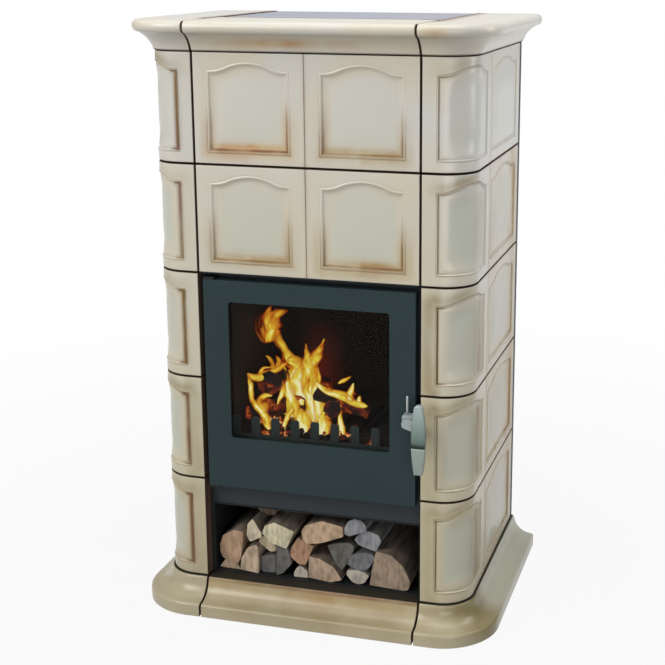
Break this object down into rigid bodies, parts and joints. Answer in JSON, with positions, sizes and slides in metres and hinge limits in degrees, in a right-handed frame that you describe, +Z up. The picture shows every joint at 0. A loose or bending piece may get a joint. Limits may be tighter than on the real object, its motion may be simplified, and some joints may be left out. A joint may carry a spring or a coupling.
{
  "type": "tiled stove",
  "caption": "Free-standing wood stove clad in glazed relief tiles, with rounded corners, a glass fire door, a wood store under it and a rear flue spigot.",
  "frame": {"origin": "on the floor, under the centre of the overall box", "axes": "+Z up, +X to the right seen from the front, the front with the door faces -Y"},
  "size_m": [0.696, 0.538, 1.117],
  "materials": {
    "glazed_tile": "gloss",
    "top_paint": "satin",
    "door_paint": "satin",
    "black_steel": "matte",
    "carcass_steel": "satin",
    "bright_steel": "satin",
    "handle_metal": "satin",
    "cast_iron": "matte",
    "firebrick": "matte",
    "door_glass": "gloss",
    "rope_seal": "matte",
    "split_wood": "matte"
  },
  "bodies": {
    "stove": {"plinth_left": "glazed_tile", "plinth_front": "glazed_tile", "plinth_right": "glazed_tile", "corner_tile_left_1": "glazed_tile", "corner_tile_left_2": "glazed_tile", "corner_tile_left_3": "glazed_tile", "corner_tile_left_4": "glazed_tile", "corner_tile_left_5": "glazed_tile", "corner_tile_right_1": "glazed_tile", "corner_tile_right_2": "glazed_tile", "corner_tile_right_3": "glazed_tile", "corner_tile_right_4": "glazed_tile", "corner_tile_right_5": "glazed_tile", "front_tile_upper": "glazed_tile", "front_tile_lower": "glazed_tile", "cornice_left": "glazed_tile", "cornice_front": "glazed_tile", "cornice_right": "glazed_tile", "top_plate": "top_paint", "base_frame": "carcass_steel", "side_panel_left": "carcass_steel", "side_panel_right": "carcass_steel", "carcass_top": "carcass_steel", "upper_front_panel": "carcass_steel", "back_panel": "black_steel", "back_panel_screws": "bright_steel", "front_frame": "black_steel", "wood_store_liner": "black_steel", "firebox_shell": "black_steel", "hearth_bricks": "firebrick", "fire_grate": "cast_iron", "brick_left": "firebrick", "brick_right": "firebrick", "brick_back": "firebrick", "baffle_plate": "firebrick", "upper_baffle": "black_steel", "flue_spigot": "black_steel", "log_guard": "black_steel", "ash_drawer": "black_steel", "door_hinge_brackets": "black_steel", "latch_catch": "black_steel", "firewood": "split_wood"},
    "door": {"door_panel": "door_paint", "door_glass": "door_glass", "glass_gasket": "rope_seal", "glass_clips": "bright_steel", "glass_clip_screws": "bright_steel", "gasket_channel": "black_steel", "door_gasket": "rope_seal", "handle_block": "handle_metal", "handle_rod": "handle_metal"},
    "handle": {"handle_spindle": "bright_steel", "handle_arm": "handle_metal", "handle_grip_upper": "handle_metal", "handle_grip_lower": "handle_metal", "handle_band": "black_steel", "latch_tongue": "bright_steel", "spindle_nut": "bright_steel"},
    "air_slide": {"air_slide": "black_steel"}
  },
  "joints": [
    {"name": "door_hinge", "type": "hinge", "parent": "stove", "child": "door", "pos_m": [-0.193, -0.213, 0.452], "axis": [0, 0, -1], "range_deg": [0, 110]},
    {"name": "handle_turn", "type": "hinge", "parent": "door", "child": "handle", "pos_m": [0.192, -0.221, 0.42], "axis": [0, -1, 0], "range_deg": [0, 60]},
    {"name": "air_slide_travel", "type": "slide", "parent": "stove", "child": "air_slide", "axis": [1, 0, 0], "range_m": [0, 0.02]}
  ]
}
